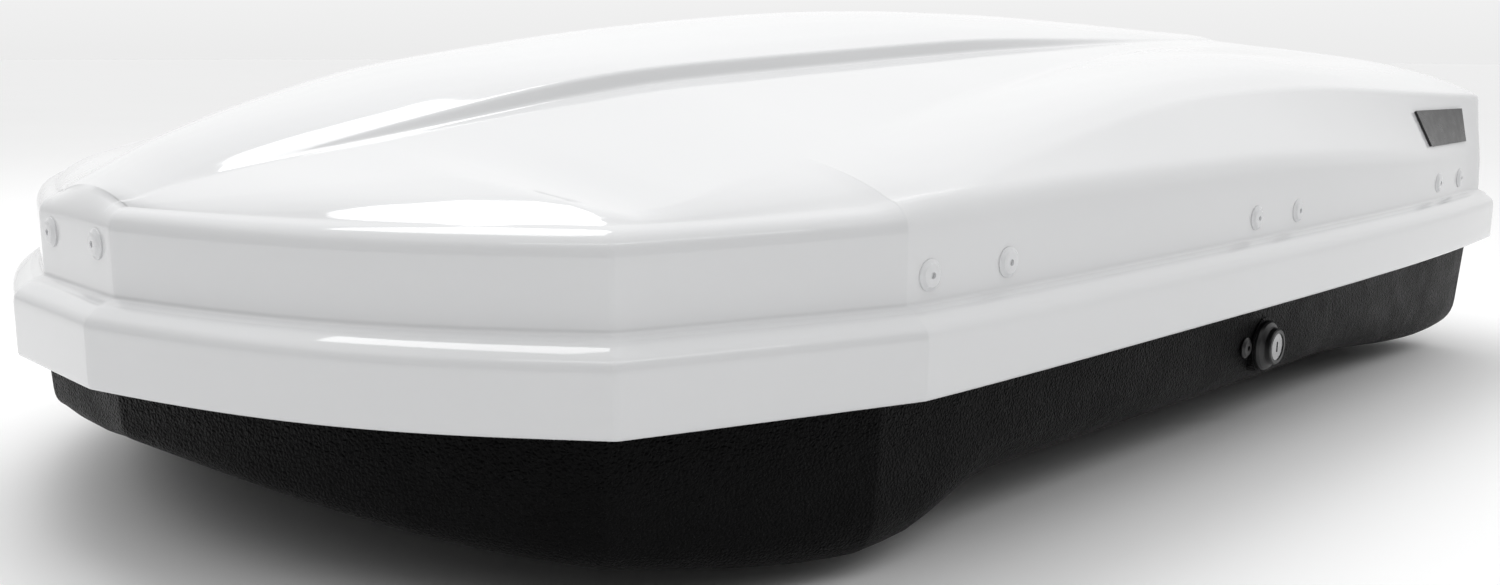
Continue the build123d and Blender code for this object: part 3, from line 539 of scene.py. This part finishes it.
def tub_surface():
    ref = outline(BASE_INSET + 0.06, TUB_RADII)
    M = len(ref)
    insets = np.linspace(0.5, 2.1, 33)
    stack = np.stack([outline(d, TUB_RADII) for d in insets])
    u0 = ref[:, 0]
    zf = FLOOR_SIDE(u0)
    # radius of the edge between wall and floor: small at the nose, large from the front belly on
    rb = np.interp(u0, [0.0, 2.0, 4.0, 6.0, 8.0, 22.0, 24.2, 26.0], [0.20, 0.35, 0.50, 0.70, 0.95, 0.97, 0.85, 0.52])

    def at(d, k=1.0):
        out = np.zeros((M, 2))
        for i in range(M):
            out[i, 0] = np.interp(d[i], insets, stack[:, i, 0])
            out[i, 1] = np.interp(d[i], insets, stack[:, i, 1])
        return shifted(out, k)

    return M, at, zf, rb


Mt, at, zf, rb = tub_surface()
t_loops = []
ones = np.ones(Mt)
edge_half = at(tub_inset(zf) + rb)
n_cols = 32
frac = np.sin(np.linspace(-1, 1, n_cols + 1) * math.pi / 2 * 0.92) / math.sin(math.pi / 2 * 0.92)
crown = 1.0 - smooth01((np.abs(frac) - 0.30) / 0.70)


def t_loop(half, z, dip_tip=0.0, dip_rear=0.0):
    """Loop at heights z; dip is how much lower the middle of the tip and rear edges runs than their ends."""
    fr, cr = frac[1:-1], crown[1:-1]
    pts = [(half[i, 0], half[i, 1], z[i]) for i in range(Mt)]
    pts += [(half[-1, 0], y * half[-1, 1], z[-1] - dip_rear * c) for y, c in zip(fr[::-1], cr[::-1])]
    pts += [(half[i, 0], -half[i, 1], z[i]) for i in range(Mt - 1, -1, -1)]
    pts += [(half[0, 0], y * half[0, 1], z[0] - dip_tip * c) for y, c in zip(fr, cr)]
    return np.array(pts)


zfe = FLOOR_SIDE(edge_half[:, 0])
zfc = FLOOR(edge_half[:, 0])
dips = zfe[0] - zfc[0], zfe[-1] - zfc[-1]
floor_grid = np.zeros((Mt, n_cols + 1, 3))
for i in range(Mt):
    floor_grid[i, :, 0] = edge_half[i, 0]
    floor_grid[i, :, 1] = frac * edge_half[i, 1]
    floor_grid[i, :, 2] = zfe[i] + (zfc[i] - zfe[i]) * crown
tl_idx = [(i, n_cols) for i in range(Mt)] + [(Mt - 1, j) for j in range(n_cols - 1, 0, -1)] + [(i, 0) for i in range(Mt - 1, -1, -1)] + [(0, j) for j in range(1, n_cols)]
e_loop = np.array([floor_grid[i, j] for i, j in tl_idx])
ctrl_l = t_loop(at(tub_inset(zf)), zf, *dips)
up_l = t_loop(at(tub_inset(zf + rb)), zf + rb, *dips)
t_loops.append(e_loop)
for q in np.linspace(0, 1, 10)[1:]:
    t_loops.append((1 - q) ** 2 * e_loop + 2 * q * (1 - q) * ctrl_l + q**2 * up_l)
top_l = t_loop(at(tub_inset(0.0) * ones), np.zeros(Mt))
for f in np.linspace(0, 1, 9)[1:]:
    t_loops.append(up_l * (1 - f) + top_l * f)
for z, k in ((0.03, 0.99), (0.10, 0.87), (0.24, 0.5), (0.38, 0.13), (0.45, 0.01), (0.6, 0.0), (0.76, 0.0)):
    t_loops.append(t_loop(at(tub_inset(0.0) * ones, k), np.full(Mt, z)))
for d, z in ((0.006, 0.788), (0.02, 0.798), (0.10, 0.800), (0.19, 0.800)):
    t_loops.append(t_loop(at(tub_inset(0.0) * ones + d, 0.0), np.full(Mt, z)))

V, F = [], []
vid = {}
for i in range(Mt):
    for j in range(n_cols + 1):
        vid[(i, j)] = len(V)
        V.append(floor_grid[i, j])
for i in range(Mt - 1):
    for j in range(n_cols):
        F.append((vid[(i, j)], vid[(i + 1, j)], vid[(i + 1, j + 1)], vid[(i, j + 1)]))
prev = [vid[k] for k in tl_idx]
n = len(prev)
for L in t_loops[1:]:
    cur = []
    for p in L:
        cur.append(len(V))
        V.append(p)
    for a in range(n):
        b = (a + 1) % n
        F.append((prev[a], prev[b], cur[b], cur[a]))
    prev = cur
V = np.array(V)
V = np.stack([X(V[:, 0]), MOD * V[:, 1], Z(V[:, 2])], 1)
tub = quad_mesh("tub_shell", [(V, F)])
clean(tub, up=-1)
sol = tub.modifiers.new("thick", "SOLIDIFY")
sol.thickness = 0.0038
sol.offset = -1.0
sol.use_rim = True
apply_mods(tub)


def prism(name, ring, axis_from, axis_to):
    """Closed prism over a ring of points, between two offset vectors."""
    k = len(ring)
    vs = [tuple(Vector(p) + Vector(axis_from)) for p in ring] + [tuple(Vector(p) + Vector(axis_to)) for p in ring]
    fs = [tuple(range(k))[::-1], tuple(range(k, 2 * k))] + [(i, (i + 1) % k, k + (i + 1) % k, k + i) for i in range(k)]
    ob = quad_mesh(name, [(vs, fs)])
    bm = bmesh.new()
    bm.from_mesh(ob.data)
    bmesh.ops.recalc_face_normals(bm, faces=bm.faces)
    bm.to_mesh(ob.data)
    bm.free()
    return ob


def combine(ob, other, operation):
    mod = ob.modifiers.new("cut", "BOOLEAN")
    mod.operation = operation
    mod.solver = "EXACT"
    mod.object = other
    apply_mods(ob)
    bpy.data.objects.remove(other, do_unlink=True)


# the flat seat of the lock, its hole, the hole of the case rivet
LOCK_P = (0.1538, 0.0832)
CASE_P = (0.11912, 0.08561)
SEAT_Y = -0.42567


def disc_ring(cx, cz, r, n=72):
    return [(cx + r * math.cos(t), 0.0, cz + r * math.sin(t)) for t in np.linspace(0, 2 * math.pi, n, endpoint=False)]


combine(tub, prism("seat", disc_ring(*LOCK_P, 0.0250), (0, SEAT_Y, 0), (0, SEAT_Y + 0.016, 0)), "UNION")
combine(tub, prism("seat_edge", disc_ring(*LOCK_P, 0.0162), (0, SEAT_Y - 0.02, 0), (0, SEAT_Y + 0.05, 0)), "DIFFERENCE")
combine(tub, prism("rivet_hole", disc_ring(*CASE_P, 0.0032, 32), (0, SEAT_Y - 0.02, 0), (0, SEAT_Y + 0.03, 0)), "DIFFERENCE")
# eight long slots for the roof bar clamps through the raised middle of the floor
for cx in (0.092 - 0.170, 0.092 + 0.170):
    for cy in (-0.320, -0.240, 0.240, 0.320):
        ring = [(cx + 0.0965 + 0.0035 * math.sin(t), cy + 0.0035 * math.cos(t), 0.0) for t in np.linspace(0, math.pi, 13)]
        ring += [(cx - 0.0965 - 0.0035 * math.sin(t), cy - 0.0035 * math.cos(t), 0.0) for t in np.linspace(0, math.pi, 13)]
        combine(tub, prism("slot", ring, (0, 0, 0.020), (0, 0, 0.055)), "DIFFERENCE")
for p in tub.data.polygons:
    p.use_smooth = True
tub.data.set_sharp_from_angle(angle=math.radians(40))


# ---------------------------------------------------------------------------
# Materials
# ---------------------------------------------------------------------------
def new_mat(name):
    m = bpy.data.materials.new(name)
    m.use_nodes = True
    nt = m.node_tree
    return m, nt, nt.nodes["Principled BSDF"]


def add_node(nt, kind, **props):
    nd = nt.nodes.new(kind)
    for k, v in props.items():
        if k.startswith("_"):
            nd.inputs[k[1:]].default_value = v
        else:
            setattr(nd, k, v)
    return nd


def colour_variation(nt, bsdf, base, amount, scale):
    """Small tonal drift over the surface."""
    tc = add_node(nt, "ShaderNodeTexCoord")
    noise = add_node(nt, "ShaderNodeTexNoise")
    noise.inputs["Scale"].default_value = scale
    noise.inputs["Detail"].default_value = 3
    nt.links.new(tc.outputs["Object"], noise.inputs["Vector"])
    ramp = add_node(nt, "ShaderNodeValToRGB")
    lo = [max(0, c * (1 - amount)) for c in base]
    hi = [min(1, c * (1 + amount)) for c in base]
    ramp.color_ramp.elements[0].color = (*lo, 1)
    ramp.color_ramp.elements[1].color = (*hi, 1)
    ramp.color_ramp.elements[0].position = 0.3
    ramp.color_ramp.elements[1].position = 0.7
    nt.links.new(noise.outputs["Fac"], ramp.inputs["Fac"])
    nt.links.new(ramp.outputs["Color"], bsdf.inputs["Base Color"])
    return tc, noise


def bump_from(nt, bsdf, tc, layers, strength):
    """Sum of noise or voronoi layers into one bump node. layers: (kind, scale, weight, distance)."""
    total = None
    for kind, scale, weight, detail in layers:
        if kind == "noise":
            nd = add_node(nt, "ShaderNodeTexNoise")
            nd.inputs["Scale"].default_value = scale
            nd.inputs["Detail"].default_value = detail
            out = nd.outputs["Fac"]
        else:
            nd = add_node(nt, "ShaderNodeTexVoronoi")
            nd.feature = "DISTANCE_TO_EDGE" if kind == "cells" else "F1"
            nd.inputs["Scale"].default_value = scale
            out = nd.outputs["Distance"]
        nt.links.new(tc.outputs["Object"], nd.inputs["Vector"])
        mul = add_node(nt, "ShaderNodeMath", operation="MULTIPLY")
        mul.inputs[1].default_value = weight
        nt.links.new(out, mul.inputs[0])
        if total is None:
            total = mul.outputs[0]
        else:
            ad = add_node(nt, "ShaderNodeMath", operation="ADD")
            nt.links.new(total, ad.inputs[0])
            nt.links.new(mul.outputs[0], ad.inputs[1])
            total = ad.outputs[0]
    b = add_node(nt, "ShaderNodeBump")
    b.inputs["Strength"].default_value = strength
    b.inputs["Distance"].default_value = 0.001
    nt.links.new(total, b.inputs["Height"])
    nt.links.new(b.outputs["Normal"], bsdf.inputs["Normal"])
    return b


def roughness_variation(nt, bsdf, tc, lo, hi, scale):
    nd = add_node(nt, "ShaderNodeTexNoise")
    nd.inputs["Scale"].default_value = scale
    nd.inputs["Detail"].default_value = 2
    nt.links.new(tc.outputs["Object"], nd.inputs["Vector"])
    mr = add_node(nt, "ShaderNodeMapRange")
    mr.inputs["From Min"].default_value = 0.3
    mr.inputs["From Max"].default_value = 0.7
    mr.inputs["To Min"].default_value = lo
    mr.inputs["To Max"].default_value = hi
    nt.links.new(nd.outputs["Fac"], mr.inputs["Value"])
    nt.links.new(mr.outputs["Result"], bsdf.inputs["Roughness"])


# gloss white thermoformed sheet
white, nt, bs = new_mat("white_gloss_shell")
tc, _ = colour_variation(nt, bs, (0.735, 0.74, 0.748), 0.012, 3.0)
roughness_variation(nt, bs, tc, 0.05, 0.085, 9.0)
bs.inputs["IOR"].default_value = 1.5
bs.inputs["Coat Weight"].default_value = 0.35
bs.inputs["Coat Roughness"].default_value = 0.03
bump_from(nt, bs, tc, [("noise", 9.0, 0.5, 2), ("noise", 38.0, 0.12, 1)], 0.25)

# black grained sheet
black, nt, bs = new_mat("black_grained_tub")
tc, _ = colour_variation(nt, bs, (0.0022, 0.0022, 0.0024), 0.25, 14.0)
roughness_variation(nt, bs, tc, 0.38, 0.48, 30.0)
bs.inputs["IOR"].default_value = 1.45
bs.inputs["Specular IOR Level"].default_value = 0.09
b = bump_from(nt, bs, tc, [("cells", 340.0, 0.9, 0), ("noise", 420.0, 0.8, 3), ("noise", 150.0, 0.4, 2)], 1.0)
b.inputs["Distance"].default_value = 0.0024

# white rivet plastic
rivet_white, nt, bs = new_mat("white_rivet_plastic")
tc, _ = colour_variation(nt, bs, (0.74, 0.745, 0.755), 0.02, 60.0)
roughness_variation(nt, bs, tc, 0.18, 0.28, 120.0)
bump_from(nt, bs, tc, [("noise", 300.0, 0.3, 2)], 0.15)

trim, nt, bs = new_mat("black_satin_trim")
tc, _ = colour_variation(nt, bs, (0.012, 0.012, 0.0125), 0.2, 60.0)
roughness_variation(nt, bs, tc, 0.26, 0.36, 90.0)
bump_from(nt, bs, tc, [("noise", 900.0, 0.4, 3)], 0.2)

lock_black, nt, bs = new_mat("black_moulded_lock")
tc, _ = colour_variation(nt, bs, (0.010, 0.010, 0.0105), 0.2, 80.0)
roughness_variation(nt, bs, tc, 0.28, 0.40, 160.0)
bump_from(nt, bs, tc, [("noise", 1200.0, 0.5, 3)], 0.25)

rubber, nt, bs = new_mat("black_rubber_seal")
tc, _ = colour_variation(nt, bs, (0.012, 0.012, 0.012), 0.2, 50.0)
roughness_variation(nt, bs, tc, 0.62, 0.75, 60.0)
bump_from(nt, bs, tc, [("noise", 500.0, 0.6, 3)], 0.3)

chrome, nt, bs = new_mat("polished_chrome")
tc, _ = colour_variation(nt, bs, (0.38, 0.38, 0.385), 0.08, 160.0)
roughness_variation(nt, bs, tc, 0.16, 0.30, 240.0)
bs.inputs["Metallic"].default_value = 1.0
bump_from(nt, bs, tc, [("noise", 900.0, 0.2, 2)], 0.06)

zinc, nt, bs = new_mat("zinc_plated_steel")
tc, _ = colour_variation(nt, bs, (0.50, 0.51, 0.50), 0.10, 45.0)
roughness_variation(nt, bs, tc, 0.28, 0.42, 70.0)
bs.inputs["Metallic"].default_value = 1.0
bump_from(nt, bs, tc, [("noise", 260.0, 0.3, 3), ("cells", 150.0, 0.15, 0)], 0.12)

alloy, nt, bs = new_mat("mill_finish_alloy")
tc, noise = colour_variation(nt, bs, (0.60, 0.61, 0.62), 0.05, 25.0)
mp = add_node(nt, "ShaderNodeMapping")
mp.inputs["Scale"].default_value = (400.0, 14.0, 14.0)
nt.links.new(tc.outputs["Object"], mp.inputs["Vector"])
ln = add_node(nt, "ShaderNodeTexNoise")
ln.inputs["Scale"].default_value = 1.0
ln.inputs["Detail"].default_value = 2
nt.links.new(mp.outputs["Vector"], ln.inputs["Vector"])
bp = add_node(nt, "ShaderNodeBump")
bp.inputs["Strength"].default_value = 0.12
bp.inputs["Distance"].default_value = 0.0006
nt.links.new(ln.outputs["Fac"], bp.inputs["Height"])
nt.links.new(bp.outputs["Normal"], bs.inputs["Normal"])
roughness_variation(nt, bs, tc, 0.30, 0.42, 30.0)
bs.inputs["Metallic"].default_value = 1.0

paint, nt, bs = new_mat("black_paint_cylinder")
tc, _ = colour_variation(nt, bs, (0.012, 0.012, 0.013), 0.15, 40.0)
roughness_variation(nt, bs, tc, 0.16, 0.26, 60.0)
bump_from(nt, bs, tc, [("noise", 200.0, 0.3, 2)], 0.1)


def dress(ob, mat):
    ob.data.materials.clear()
    ob.data.materials.append(mat)


dress(lid, white)
dress(tub, black)
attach(lid, "lid")
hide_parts("lid_shell")
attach(tub, "tub")
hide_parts("base_shell")


def trimmed(name, mat, body):
    """Copy of a node with its lower outer corner taken off, where the tub's side rounds into the floor behind it."""
    src = NODES[name]
    ob = bpy.data.objects.new(name + "_fitted", src.data.copy())
    scene_collection = bpy.context.scene.collection
    scene_collection.objects.link(ob)
    ob.data.transform(src.matrix_world)
    bm = bmesh.new()
    bm.from_mesh(ob.data)
    bmesh.ops.remove_doubles(bm, verts=bm.verts, dist=1e-6)
    cut = bmesh.ops.bisect_plane(bm, geom=bm.verts[:] + bm.edges[:] + bm.faces[:], plane_co=(0, SEAT_Y + 0.0022 + 0.0095, LOCK_P[1] - 0.017),
                                 plane_no=(0, -0.0130, -0.0205), clear_outer=True)
    bmesh.ops.holes_fill(bm, edges=[e for e in bm.edges if e.is_boundary], sides=0)
    bm.to_mesh(ob.data)
    bm.free()
    dress(ob, mat)
    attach(ob, body)
    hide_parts(name)
    return ob


trimmed("lock_back_plate", zinc, "tub")
trimmed("lock_cover", lock_black, "tub")

for name, ob in NODES.items():
    if name in ("lid_shell", "base_shell", "lock_back_plate", "lock_cover"):
        continue
    if name.startswith("lid_rivets"):
        m = rivet_white
    elif name.startswith("trim_"):
        m = trim
    elif name in ("lock_housing", "lock_case_rivet", "lock_cover", "lock_nut", "lock_rail_guides"):
        m = lock_black
    elif name == "rim_seal":
        m = rubber
    elif name == "lock_barrel" or name.startswith("strut_rod"):
        m = chrome
    elif name.startswith("strut_cylinder"):
        m = paint
    elif name.startswith("lid_brace") or name == "nose_stiffener":
        m = alloy
    else:
        m = zinc
    dress(ob, m)

# ---------------------------------------------------------------------------
# Floor, light, camera
# ---------------------------------------------------------------------------
me = bpy.data.meshes.new("floor")
s = 60.0
me.from_pydata([(-s, -s, 0), (s, -s, 0), (s, s, 0), (-s, s, 0)], [], [(0, 1, 2, 3)])
floor = bpy.data.objects.new("floor", me)
bpy.context.scene.collection.objects.link(floor)
fm, nt, bs = new_mat("pale_floor")
tc, _ = colour_variation(nt, bs, (0.94, 0.94, 0.94), 0.004, 1.0)
bs.inputs["Roughness"].default_value = 0.9
bs.inputs["Specular IOR Level"].default_value = 0.1
dress(floor, fm)
floor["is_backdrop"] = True

scene = bpy.context.scene
scene.view_settings.view_transform = "Standard"
scene.view_settings.look = "None"
world = bpy.data.worlds.new("studio")
scene.world = world
world.use_nodes = True
nt = world.node_tree
bg = nt.nodes["Background"]
tcw = nt.nodes.new("ShaderNodeTexCoord")
sep = nt.nodes.new("ShaderNodeSeparateXYZ")
nt.links.new(tcw.outputs["Generated"], sep.inputs[0])


def sky_ramp(stops):
    """Grey level against the height of the direction (0 at the horizon, 1 overhead)."""
    r = nt.nodes.new("ShaderNodeValToRGB")
    nt.links.new(sep.outputs["Z"], r.inputs["Fac"])
    els = r.color_ramp.elements
    els[0].position, els[0].color = 0.0, (*[stops[0][1]] * 3, 1)
    els[1].position, els[1].color = 1.0, (*[stops[-1][1]] * 3, 1)
    for pos, c in stops[1:-1]:
        e = els.new(pos)
        e.color = (c, c, c, 1)
    return r


# a bright wall behind the box, a dimmer room behind the camera, a bright ceiling over both
far = sky_ramp([(0.0, 0.84), (0.04, 0.88), (0.12, 0.98), (0.45, 1.04), (1.0, 1.04)])
near = sky_ramp([(0.0, 0.20), (0.10, 0.12), (0.40, 0.17), (0.56, 0.60), (0.70, 1.10), (1.0, 1.10)])
dotx = nt.nodes.new("ShaderNodeMath")
dotx.operation = "MULTIPLY_ADD"
dotx.inputs[1].default_value = 0.55
nt.links.new(sep.outputs["Y"], dotx.inputs[0])
nt.links.new(sep.outputs["X"], dotx.inputs[2])
blend = nt.nodes.new("ShaderNodeMapRange")
blend.interpolation_type = "SMOOTHSTEP"
blend.inputs["From Min"].default_value = -0.25
blend.inputs["From Max"].default_value = 0.55
nt.links.new(dotx.outputs[0], blend.inputs["Value"])
mix = nt.nodes.new("ShaderNodeMix")
mix.data_type = "RGBA"
nt.links.new(blend.outputs["Result"], mix.inputs[0])
nt.links.new(near.outputs["Color"], mix.inputs[6])
nt.links.new(far.outputs["Color"], mix.inputs[7])
nt.links.new(mix.outputs[2], bg.inputs["Color"])
bg.inputs["Strength"].default_value = 1.0


def area(name, loc, target, size, power, size_y=None):
    li = bpy.data.lights.new(name, "AREA")
    li.shape = "RECTANGLE"
    li.size = size
    li.size_y = size_y or size
    li.energy = power
    ob = bpy.data.objects.new(name, li)
    ob.location = loc
    ob.rotation_mode = "QUATERNION"
    ob.rotation_quaternion = (Vector(target) - Vector(loc)).to_track_quat("-Z", "Y")
    scene.collection.objects.link(ob)
    return ob


area("overhead", (-0.3, 0.9, 2.6), (0.0, 0.0, 0.2), 1.8, 25, size_y=1.2)
area("strip", (-1.0, -1.5, 1.7), (-0.1, -0.1, 0.2), 2.8, 3.2, size_y=0.16)

cam_data = bpy.data.cameras.new("camera")
cam = bpy.data.objects.new("camera", cam_data)
scene.collection.objects.link(cam)
scene.camera = cam
F_PX, YAW, PITCH, ROLL = 1336.08, 0.7918923, 0.1771053, -0.0028789
CX, CY = 722.15, 292.71
fwd = Vector((math.cos(PITCH) * math.cos(YAW), math.cos(PITCH) * math.sin(YAW), -math.sin(PITCH)))
right = Vector((math.sin(YAW), -math.cos(YAW), 0.0))
downv = fwd.cross(right)
c_, s_ = math.cos(ROLL), math.sin(ROLL)
r2 = right * c_ + downv * s_
d2 = -right * s_ + downv * c_
rot = Matrix((r2, -d2, -fwd)).transposed()
loc = Vector((-5.27663 * MOD - LEN_U / 2 * MOD, -16.87643 * MOD, 3.80981 * MOD + SKIRT_Z))
cam.matrix_world = Matrix.Translation(loc) @ rot.to_4x4()
cam_data.sensor_width = 36.0
cam_data.sensor_fit = "HORIZONTAL"
cam_data.lens = 36.0 * F_PX / 1500.0
cam_data.shift_x = -(CX - 750.0) / 1500.0
cam_data.shift_y = (CY - 292.5) / 1500.0
cam_data.clip_start = 0.01
cam_data.clip_end = 100.0

lo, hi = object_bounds()
